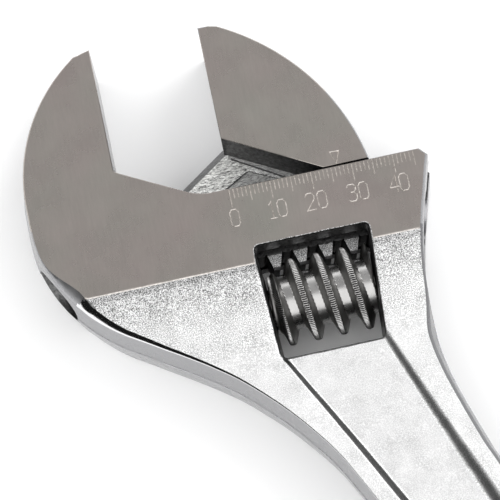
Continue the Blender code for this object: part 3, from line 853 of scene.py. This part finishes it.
# Side walls on the handle's right take the darker belt-ground copy: painted shade.
for face in body.data.polygons:
    u, w = face.center.x / MM - HEAD.x, face.center.y / MM - HEAD.y
    to_the_right = (Vector((u, w)) - HANDLE_START).dot(SIDE)
    if face.material_index == SIDE_WALL and w < GROUND_EDGE_W and to_the_right > 12.0:
        face.material_index = RIGHT_SIDE_PAINTED_SHADE
BAR_W, BAR_RADIUS, CHANNEL_RADIUS = -14.0, 6.5, 6.85
channel = turned("channel_tool", [(-70.0, CHANNEL_RADIUS, BAR_W), (36.0, CHANNEL_RADIUS, BAR_W)], 96)
channel_mouth = turned("channel_mouth_tool", [(35.9, CHANNEL_RADIUS, BAR_W), (70.0, CHANNEL_RADIUS, BAR_W)],
                       96)
NECK_SLOPE = math.radians(34.9)
BAR_LEFT_END, CLOSING_TRAVEL = -12.5, 26.6
closed_end = BAR_LEFT_END - CLOSING_TRAVEL - 0.6
rise = math.tan(NECK_SLOPE)
slot_low = 3.3 + 2.0
slot_high = slot_low + (FIXED_FACE_U + 0.5 - closed_end) * rise
slot = prism("neck_slot_tool", [(closed_end, BAR_W), (60.0, BAR_W), (60.0, slot_high),
                                (FIXED_FACE_U + 0.5, slot_high), (closed_end, slot_low)], -3.8, 3.8)
pin_hole = turned("pin_hole_tool", [(-9.1, 2.8, WORM_W), (38.6, 2.8, WORM_W), (38.6, 3.8, WORM_W),
                                    (41.0, 3.8, WORM_W), (60.0, 3.8, WORM_W)], 48)
# The channel and the neck slot are painted dark as painted shade; the channel's mouth and the pin hole keep
# the belt-ground side.
for tool in (channel, channel_mouth, slot, pin_hole):
    tool.data.materials.append(finishes[WINDOW_WALL_PAINTED_SHADE if tool in (channel, slot) else SIDE_WALL])
bake(body, [channel, channel_mouth, slot, pin_hole])

# %% [markdown]
# ## The scale
# Millimetre marks from 0 to 45 and a figure at each ten, engraved 0.12 mm deep.

# %% Scale marks
DIGITS = {
    "0": ([[(0.55, 0.0), (1.65, 0.0), (2.15, 0.7), (2.15, 3.6), (1.65, 4.3), (0.55, 4.3), (0.05, 3.6),
            (0.05, 0.7)]], [], True),
    "1": ([[(0.45, 3.5), (1.15, 4.3), (1.15, 0.05)]], [[(0.35, 0.0), (1.95, 0.0)]], False),
    "2": ([[(0.05, 3.5), (0.5, 4.3), (1.7, 4.3), (2.15, 3.6), (2.15, 2.7), (0.05, 0.0), (2.2, 0.0)]],
          [], False),
    "3": ([[(0.05, 3.7), (0.5, 4.3), (1.65, 4.3), (2.1, 3.7), (2.1, 2.8), (1.6, 2.3), (2.15, 1.7), (2.15, 0.6),
            (1.65, 0.0), (0.5, 0.0), (0.05, 0.6)]], [[(0.8, 2.3), (1.5, 2.3)]], False),
    "4": ([[(1.65, 0.0), (1.65, 4.3), (0.0, 1.45)]], [[(0.0, 1.3), (2.2, 1.3)]], False),
}
DIGIT_BASE = -9.85
MARK_WIDTH, MARK_DEPTH = 0.27, 0.12
first, second = bmesh.new(), bmesh.new()
for tick in range(46):
    long = 4.6 if tick % 10 == 0 else 3.8 if tick % 5 == 0 else 2.45
    groove(first, [(tick, -0.3), (tick, -0.3 - long)], MARK_WIDTH, MARK_DEPTH, HALF_THICK)
for text, middles in (("0", [0.1]), ("10", [9.2, 11.6]), ("20", [18.5, 21.4]), ("30", [28.7, 31.5]),
                      ("40", [39.0, 41.4])):
    for digit, middle in zip(text, middles):
        strokes, extra, closed = DIGITS[digit]
        for tool, runs, joined in ((first, strokes, closed), (second, extra, False)):
            for stroke in runs:
                groove(tool, [(middle - 1.1 + x, DIGIT_BASE + y) for x, y in stroke],
                       MARK_WIDTH, MARK_DEPTH, HALF_THICK, joined)
bake(body, [tool_from("scale_tool", first, finishes[LINE_AND_EDGE_HIGHLIGHT]), tool_from("serif_tool", second, finishes[LINE_AND_EDGE_HIGHLIGHT])])
ride(body, "handle_and_fixed_jaw", "forged_body", finishes)

# %% [markdown]
# ## The jaw
# The sliding jaw is a second forging, ground on both faces. Its outer edge is an arc and its lower edge
# rides just above the scale, where a small engraved triangle points at the opening.

# %% The jaw
MOVING_FACE_U = 0.7
arc_centre, arc_radius, bottom = (-23.4, -8.85), 59.0, 0.35
low_u = arc_centre[0] + math.sqrt(arc_radius ** 2 - (bottom - arc_centre[1]) ** 2)
low_deg = math.degrees(math.atan2(bottom - arc_centre[1], low_u - arc_centre[0]))
jaw_loop, jaw_lean, jaw_radius = [], [], []
for run, run_lean, run_radius in [
        (flowing([(MOVING_FACE_U, 10.9), (19.3, bottom)], 3.0), 2.0, 0.15),
        ([(19.3, bottom), (26.0, bottom), (30.0, bottom), (low_u, bottom)], 0.0, 0.04),
        (arc(arc_centre, arc_radius, low_deg, 60.6, 60), 0.6, 0.3),
        ([arc(arc_centre, arc_radius, 60.6, 60.6, 1)[0], (3.3, 43.1)], 0.6, 0.3),
        ([(3.3, 43.1), (MOVING_FACE_U, 43.1)], 0.6, 0.3),
        (flowing([(MOVING_FACE_U, 43.1), (MOVING_FACE_U, 10.9)], 3.0), 0.0, 0.18)]:
    jaw_loop += run[:-1]
    jaw_lean += [run_lean - run_radius * 0.5 if run_lean else 0.0] * (len(run) - 1)
    jaw_radius += [run_radius] * (len(run) - 1)
jaw = forged_plate("moving_jaw", jaw_loop, jaw_lean, jaw_radius, [0.0] * len(jaw_loop),
                   lambda u, w, side: HALF_THICK, paint=lambda u, w, side: GROUND,
                   rim=lambda u, w: SIDE_WALL if u > 28.0 or w > 42.0 else GROUND)
for metal in finishes:
    jaw.data.materials.append(metal)
# The jaw's walls that face the throat, under its slanted edge, are painted dark as painted shade.
for face in jaw.data.polygons:
    if face.normal.x < -0.3 and face.normal.y < -0.5 and abs(face.normal.z) < 0.5:
        face.material_index = DARK_PAINTED_SHADE


# %% [markdown]
# ## The neck and its bar
# Between the jaw and its round bar is a thin neck that runs in the body's slot. The die left stepped
# chevrons on it; each step's crease is painted dark as painted shade.

# %% The neck
def below_line(u, w, corner, slope):
    """Signed distance of a point from a line through the corner (positive above it)."""
    return (w - corner[1] - slope * (u - corner[0])) / math.hypot(1.0, slope)


def neck_marks(u, w):
    """Distances from the first crease (right only), and from the second crease's two branches."""
    first = below_line(u, w, (2.3, 9.95), -0.632)
    second = max(below_line(u, w, (5.6, 6.2), -0.532), below_line(u, w, (5.6, 6.2), 0.566))
    return first, second


def neck_height(u, w, side):
    """The neck's struck face: stepped chevrons under the jaw's slanted edge."""
    first, second = neck_marks(u, w)
    level = 3.5 - 0.2 * smooth((0.15 - first) / 0.3) - 0.3 * smooth((0.15 - second) / 0.3)
    level -= 0.28 * max(0.0, 1.0 - abs(first) / 0.28) * (1.0 if u > 2.0 else 0.0)
    level -= 0.25 * max(0.0, 1.0 - abs(second) / 0.28)
    along, sideways = u * 0.857 + w * 0.515, w * 0.857 - u * 0.515
    if u > 5.6 or first > 0.0:
        along, sideways = u * 0.866 - w * 0.5, w * 0.866 + u * 0.5
    level += 0.10 * noise.noise(Vector((along / 2.2, sideways / 0.55, 5.0 * side)))
    return min(3.5, level)


def neck_paint(u, w, side):
    first, second = neck_marks(u, w)
    # The creases are painted dark as painted shade.
    if (abs(first) < 0.17 and u > 2.0) or abs(second) < 0.15:
        return DARK_PAINTED_SHADE
    if first > 0.0 and u > 1.0:
        return NECK_LOW
    if second < 0.0:
        return NECK_LOW
    return NECK_RIGHT if below_line(u, w, (5.6, 6.2), 0.7) < 0.0 or first > -0.2 else NECK_LEFT


toe, heel = BAR_LEFT_END, MOVING_FACE_U + 4.0
FLANK_W = 4.73
neck_loop, neck_lean = [], []
for run, run_lean in [
        (flowing([(toe, BAR_W), (33.0, BAR_W)], 4.0), 0.0),
        (flowing([(33.0, BAR_W), (33.0, 5.0)], 4.0), 0.0),
        (flowing([(33.0, 5.0), (heel, 12.0)], 2.0), 0.0),
        ([(heel, 12.0), (heel, FLANK_W + (heel - toe) * rise)], 0.0),
        ([(heel, FLANK_W + (heel - toe) * rise)]
         + flowing([(heel - 4.0, FLANK_W + (heel - 4.0 - toe) * rise), (toe, FLANK_W)], 1.0), 2.0),
        (flowing([(toe, FLANK_W), (toe, BAR_W)], 3.0), 0.0)]:
    neck_loop += run[:-1]
    neck_lean += [run_lean] * (len(run) - 1)
neck_fill = [(-12.0 + 0.4 * i, -4.0 + 0.4 * j) for i in range(110) for j in range(52)]
neck_fill = [p for p in neck_fill if min(map(abs, neck_marks(*p))) > 0.45]
for offset in (-0.34, -0.16, 0.0, 0.16, 0.34):
    for corner, slope, start, end in (((2.3, 9.95), -0.632, -0.3, 22.0),
                                      ((5.6, 6.2), -0.532, offset * 0.9, 20.0),
                                      ((5.6, 6.2), 0.566, -20.0, -offset * 0.9)):
        normal = Vector((-slope, 1.0)).normalized()
        for k in range(int((end - start) / 0.35)):
            u = corner[0] + start + 0.35 * k
            neck_fill.append((u + normal.x * offset, corner[1] + slope * (u - corner[0]) + normal.y * offset))
neck = forged_plate("neck_tool", neck_loop, neck_lean, [0.3 if l else 0.05 for l in neck_lean],
                    [0.0] * len(neck_loop), neck_height, fill=neck_fill, sides=(0.5,), paint=neck_paint)
# The neck's walls and bevels are painted dark as painted shade.
for face in neck.data.polygons:
    if face.material_index in (SIDE_WALL, EDGE):
        face.material_index = DARK_PAINTED_SHADE
for metal in finishes:
    neck.data.materials.append(metal)
bar = turned("bar_tool", [(BAR_LEFT_END, BAR_RADIUS - 0.5, BAR_W), (BAR_LEFT_END + 0.5, BAR_RADIUS, BAR_W),
                          (41.5, BAR_RADIUS, BAR_W), (42.0, BAR_RADIUS - 0.5, BAR_W)], 96)
bar.data.materials.append(finishes[SIDE_WALL])
bake(jaw, [neck, bar], "UNION")

# %% [markdown]
# ## Rack teeth
# The bar is milled flat on both sides below its middle, and four sloping teeth show in the window. They
# stand one thread pitch apart, 6.28 mm, so one turn of the worm moves the jaw by that much.

# %% Rack teeth
PITCH = 2.0 * math.pi
CREST_AT = 10.25
ROOT_W, TIP_TOOTH_W, ROOT_WIDE, TIP_WIDE = -16.4, -20.05, 3.8, 1.6
slope = (ROOT_WIDE - TIP_WIDE) / (ROOT_W - TIP_TOOTH_W)
rack = bmesh.new()
for index in range(-3, 6):
    middle = CREST_AT + PITCH * index
    high = (PITCH - ROOT_WIDE) / 2
    deep_w = TIP_TOOTH_W - 4.0
    low = high + (ROOT_W - deep_w) * slope / 2
    rings = []
    for z in (-8.5, 8.5):
        u = middle + 0.111 * z
        rings.append([rack.verts.new(p) for p in ((u - low, deep_w, z), (u + low, deep_w, z),
                      (u + high, ROOT_W + 0.5, z), (u + high - 0.5, ROOT_W, z),
                      (u - high + 0.5, ROOT_W, z), (u - high, ROOT_W + 0.5, z))])
    for i in range(6):
        j = (i + 1) % 6
        rack.faces.new((rings[0][i], rings[0][j], rings[1][j], rings[1][i]))
    rack.faces.new(rings[0])
    rack.faces.new(rings[1])
# The gaps between the teeth, the trimmed tips and the band from the teeth's root up to the bar are painted
# dark as painted shade; the teeth's faces keep the forged plate.
rack_tool = tool_from("rack_tool", rack, finishes[WINDOW_WALL_PAINTED_SHADE])
flats = []
for side in (1, -1):
    for low_w, high_w, start, finish in ((-30.0, ROOT_W, 3.4, FORGED),
                                         (ROOT_W - 0.01, -13.9, 3.6, WINDOW_WALL_PAINTED_SHADE)):
        flat = prism(f"tooth_side_tool_{len(flats)}",
                     [(-60, low_w), (60, low_w), (60, high_w), (-60, high_w)],
                     *sorted((side * start, side * 9.0)))
        flat.data.materials.append(finishes[finish])
        flats.append(flat)
trim = prism("tooth_tip_tool", [(-60, -26.05), (60, -26.05), (60, TIP_TOOTH_W), (-60, TIP_TOOTH_W)], -10, 10)
trim.data.materials.append(finishes[WINDOW_WALL_PAINTED_SHADE])
bake(jaw, flats + [rack_tool, trim])
marker = bmesh.new()
groove(marker, [(25.55, 3.7), (27.65, 3.6), (26.6, 0.6)], MARK_WIDTH, MARK_DEPTH, HALF_THICK, True)
bake(jaw, [tool_from("marker_tool", marker, finishes[LINE_AND_EDGE_HIGHLIGHT])])
ride(jaw, "sliding_jaw", "movable_jaw", finishes)

# %% [markdown]
# ## The worm
# A right-hand thread of 6.28 mm pitch with a narrow crest, ribbed across for the thumb. The ribs are
# 0.54 mm apart. The mesh has four columns to a rib, so that each is a real ridge; the valleys between
# them carry painted shade, the ridges a painted highlight and the flanks painted shade. The left end
# has a pocket for the spring.

# %% The worm
CREST_RADIUS, ROOT_RADIUS, RIBS = 10.35, 7.05, 120
CREST_HALF, THREAD_FOOT, RIB_HALF = 0.75, 2.1, 0.55
BORE, POCKET, POCKET_DEPTH = 2.8, 4.3, 5.0


def off_crest(u, phi):
    """Distance along the worm from the nearest turn of the crest."""
    phase = (u - CREST_AT) / PITCH - phi / (2 * math.pi)
    return abs(phase - round(phase)) * PITCH


def worm_radius(u, phi):
    """Radius of the worm at a place along it and an angle around it."""
    off = off_crest(u, phi)
    t = min(1.0, max(0.0, (off - CREST_HALF) / (THREAD_FOOT - CREST_HALF)))
    r = CREST_RADIUS - (CREST_RADIUS - ROOT_RADIUS) * (0.75 * t + 0.25 * smooth(t))
    r -= 0.22 * (min(off, CREST_HALF) / CREST_HALF) ** 2
    run_out = smooth((u - 4.9) / 1.9)
    r = ROOT_RADIUS + (r - ROOT_RADIUS) * run_out
    if off < RIB_HALF + 0.1:
        rib = 0.5 - 0.5 * math.cos(RIBS * phi)
        r -= 0.28 * rib * smooth((RIB_HALF + 0.1 - off) / 0.15)
    return min(r, CREST_RADIUS)


def build_worm():
    bm = bmesh.new()
    around, stations = 4 * RIBS, 165
    rows = [WORM_ENDS[0] + 0.35 + (WORM_ENDS[1] - WORM_ENDS[0] - 0.7) * i / (stations - 1)
            for i in range(stations)]

    def ring(u, radius_at):
        made = []
        for i in range(around):
            phi = 2 * math.pi * i / around
            r = radius_at(phi)
            made.append(bm.verts.new((u, WORM_W + r * math.cos(phi), r * math.sin(phi))))
        return made

    rings = [ring(WORM_ENDS[0] + POCKET_DEPTH, lambda phi: BORE),
             ring(WORM_ENDS[0] + POCKET_DEPTH, lambda phi: POCKET),
             ring(WORM_ENDS[0], lambda phi: POCKET),
             ring(WORM_ENDS[0], lambda phi: worm_radius(rows[0], phi) - 0.35)]
    rings += [ring(u, lambda phi, u=u: worm_radius(u, phi)) for u in rows]
    rings += [ring(WORM_ENDS[1], lambda phi: worm_radius(rows[-1], phi) - 0.35),
              ring(WORM_ENDS[1], lambda phi: BORE)]
    for row, (low, high) in enumerate(zip(rings, rings[1:] + rings[:1])):
        u = (low[0].co.x + high[0].co.x) / 2
        for i in range(around):
            j = (i + 1) % around
            face = bm.faces.new((low[i], low[j], high[j], high[i]))
            phi = 2 * math.pi * (i + 0.5) / around
            # Painted shade on the flanks and in the valleys between ribs, a painted highlight on the ribs'
            # ridges.
            ribbed = 3 < row < len(rings) - 2 and off_crest(u, phi) < RIB_HALF
            flank = RIB_HALF <= off_crest(u, phi) < THREAD_FOOT - 0.15
            face.material_index = 2 if flank else 0
            if ribbed:
                face.material_index = 1 if math.cos(RIBS * phi) < 0.0 else 3
    return finish_mesh("knurled_worm", bm, 40.0)


worm = build_worm()
rib_spacing = math.pi * 2 * CREST_RADIUS / RIBS
print("worm:", len(worm.data.polygons), "faces,", round(rib_spacing, 2), "mm from rib to rib")
ride(worm, "worm", "adjusting_worm", [worm_metal, rib_gap_painted_shade, flank_painted_shade_metal, rib_painted_highlight_metal])

# %% [markdown]
# ## Pin and spring
# The pin screws in from the right side and the worm turns on it. The coil in the worm's left end presses
# it to the right and takes up the play.

# %% Pin and spring
pin = turned("screw_pin", [(-8.6, 2.0, WORM_W), (-8.0, 2.5, WORM_W), (38.9, 2.5, WORM_W), (38.9, 3.3, WORM_W),
                           (39.1, 3.5, WORM_W), (41.0, 3.5, WORM_W), (41.4, 3.1, WORM_W)], 64)
slit = prism("slit_tool", [(40.2, WORM_W - 5), (43.0, WORM_W - 5), (43.0, WORM_W + 5), (40.2, WORM_W + 5)],
             -0.5, 0.5)
bake(pin, [slit])
ride(pin, "handle_and_fixed_jaw", "worm_pin", [pin_metal])

coil_first, coil_last, coil_turns = WORM_ENDS[0] - 0.35 + 0.42, WORM_ENDS[0] + POCKET_DEPTH - 0.3 - 0.42, 4.5
bm = bmesh.new()
rings = []
steps = round(coil_turns * 40)
for i in range(steps + 1):
    phi = 2 * math.pi * coil_turns * i / steps
    outward = Vector((0.0, math.cos(phi), math.sin(phi)))
    centre = Vector((coil_first + (coil_last - coil_first) * i / steps, WORM_W, 0.0)) + outward * 3.55
    rings.append([bm.verts.new(centre + 0.42 * (outward * math.cos(a) + Vector((1, 0, 0)) * math.sin(a)))
                  for a in [2 * math.pi * k / 12 for k in range(12)]])
for low, high in zip(rings, rings[1:]):
    for i in range(12):
        j = (i + 1) % 12
        bm.faces.new((low[i], low[j], high[j], high[i]))
bm.faces.new(rings[0])
bm.faces.new(rings[-1])
spring = finish_mesh("take_up_spring", bm)
ride(spring, "handle_and_fixed_jaw", "worm_spring", [spring_metal])

# %% [markdown]
# ## Studio
# A white sheet under the wrench, which glows very slightly, and a bright room around it. Chrome shows
# nothing but its surroundings, so its greys come from dark cards in the room: one overhead for the
# ground faces, one at the left and one at the right for the sides. A softbox from the upper right gives
# the soft shadow.

# %% Floor and light
bm = bmesh.new()
bmesh.ops.create_circle(bm, cap_ends=True, segments=64, radius=2.5)
bench = bpy.data.meshes.new("pale_floor")
bm.to_mesh(bench)
bm.free()
floor = bpy.data.objects.new("pale_floor", bench)
floor.location = (0.0, 0.0, -0.0001)
bpy.context.scene.collection.objects.link(floor)
FLOOR_GLOW, ROOM_LIGHT = 0.06, 1.7
paper = bpy.data.materials.new("white_paper")
paper.use_nodes = True
paper.node_tree.nodes["Principled BSDF"].inputs["Base Color"].default_value = linear("#F4F4F4")
paper.node_tree.nodes["Principled BSDF"].inputs["Roughness"].default_value = 0.9
paper.node_tree.nodes["Principled BSDF"].inputs["Specular IOR Level"].default_value = 0.0
paper.node_tree.nodes["Principled BSDF"].inputs["Emission Color"].default_value = linear("#FFFFFF")
paper.node_tree.nodes["Principled BSDF"].inputs["Emission Strength"].default_value = FLOOR_GLOW
floor.data.materials.append(paper)

sky = bpy.data.worlds.new("studio")
sky.use_nodes = True
tree = sky.node_tree
direction = add(tree, "TexCoord").outputs["Generated"]
height_of = add(tree, "SeparateXYZ", {"Vector": direction}).outputs["Z"]
glow = add(tree, "ValToRGB", {"Fac": height_of},
           stops=[(0.0, "#A8A8A8"), (0.25, "#C8C8C8"), (0.45, "#FFFFFF"), (1.0, "#FFFFFF")]).outputs["Color"]


def flag(spot, inner, outer, keep):
    """A dark card in the studio, seen in polished steel: its share of light by direction."""
    spot = Vector(spot).normalized()
    facing = add(tree, "VectorMath", {0: direction, 1: spot}, operation="DOT_PRODUCT")
    return add(tree, "MapRange", {"Value": facing.outputs["Value"], "From Min": math.cos(math.radians(outer)),
                                  "From Max": math.cos(math.radians(inner)), "To Min": 1.0, "To Max": keep},
               interpolation_type="SMOOTHSTEP").outputs["Result"]


overhead = flag((0.0, 0.36, 0.93), 20.0, 36.0, 0.32)
left_card = flag((-0.90, -0.42, 0.10), 27.0, 36.0, 0.01)
right_card = flag((0.75, 0.66, 0.06), 22.0, 32.0, 0.02)
cards = add(tree, "Math", {0: right_card, 1: left_card}, operation="MULTIPLY")
both = add(tree, "Math", {0: overhead, 1: cards.outputs["Value"]}, operation="MULTIPLY")
backdrop = tree.nodes["Background"]
tree.links.new(glow, backdrop.inputs["Color"])
power = add(tree, "Math", {0: both.outputs["Value"], 1: ROOM_LIGHT}, operation="MULTIPLY")
tree.links.new(power.outputs["Value"], backdrop.inputs["Strength"])
bpy.context.scene.world = sky


def softbox(name, spot, target, size, power):
    light = bpy.data.lights.new(name, "AREA")
    light.size = size
    light.energy = power
    lamp = bpy.data.objects.new(name, light)
    lamp.location = spot
    lamp.rotation_euler = (Vector(target) - Vector(spot)).to_track_quat("-Z", "Y").to_euler()
    bpy.context.scene.collection.objects.link(lamp)


softbox("key_softbox", (1.1, 0.9, 1.3), (0.0, 0.1, 0.0), 0.8, 9.0)
bpy.context.scene.view_settings.view_transform = "Standard"
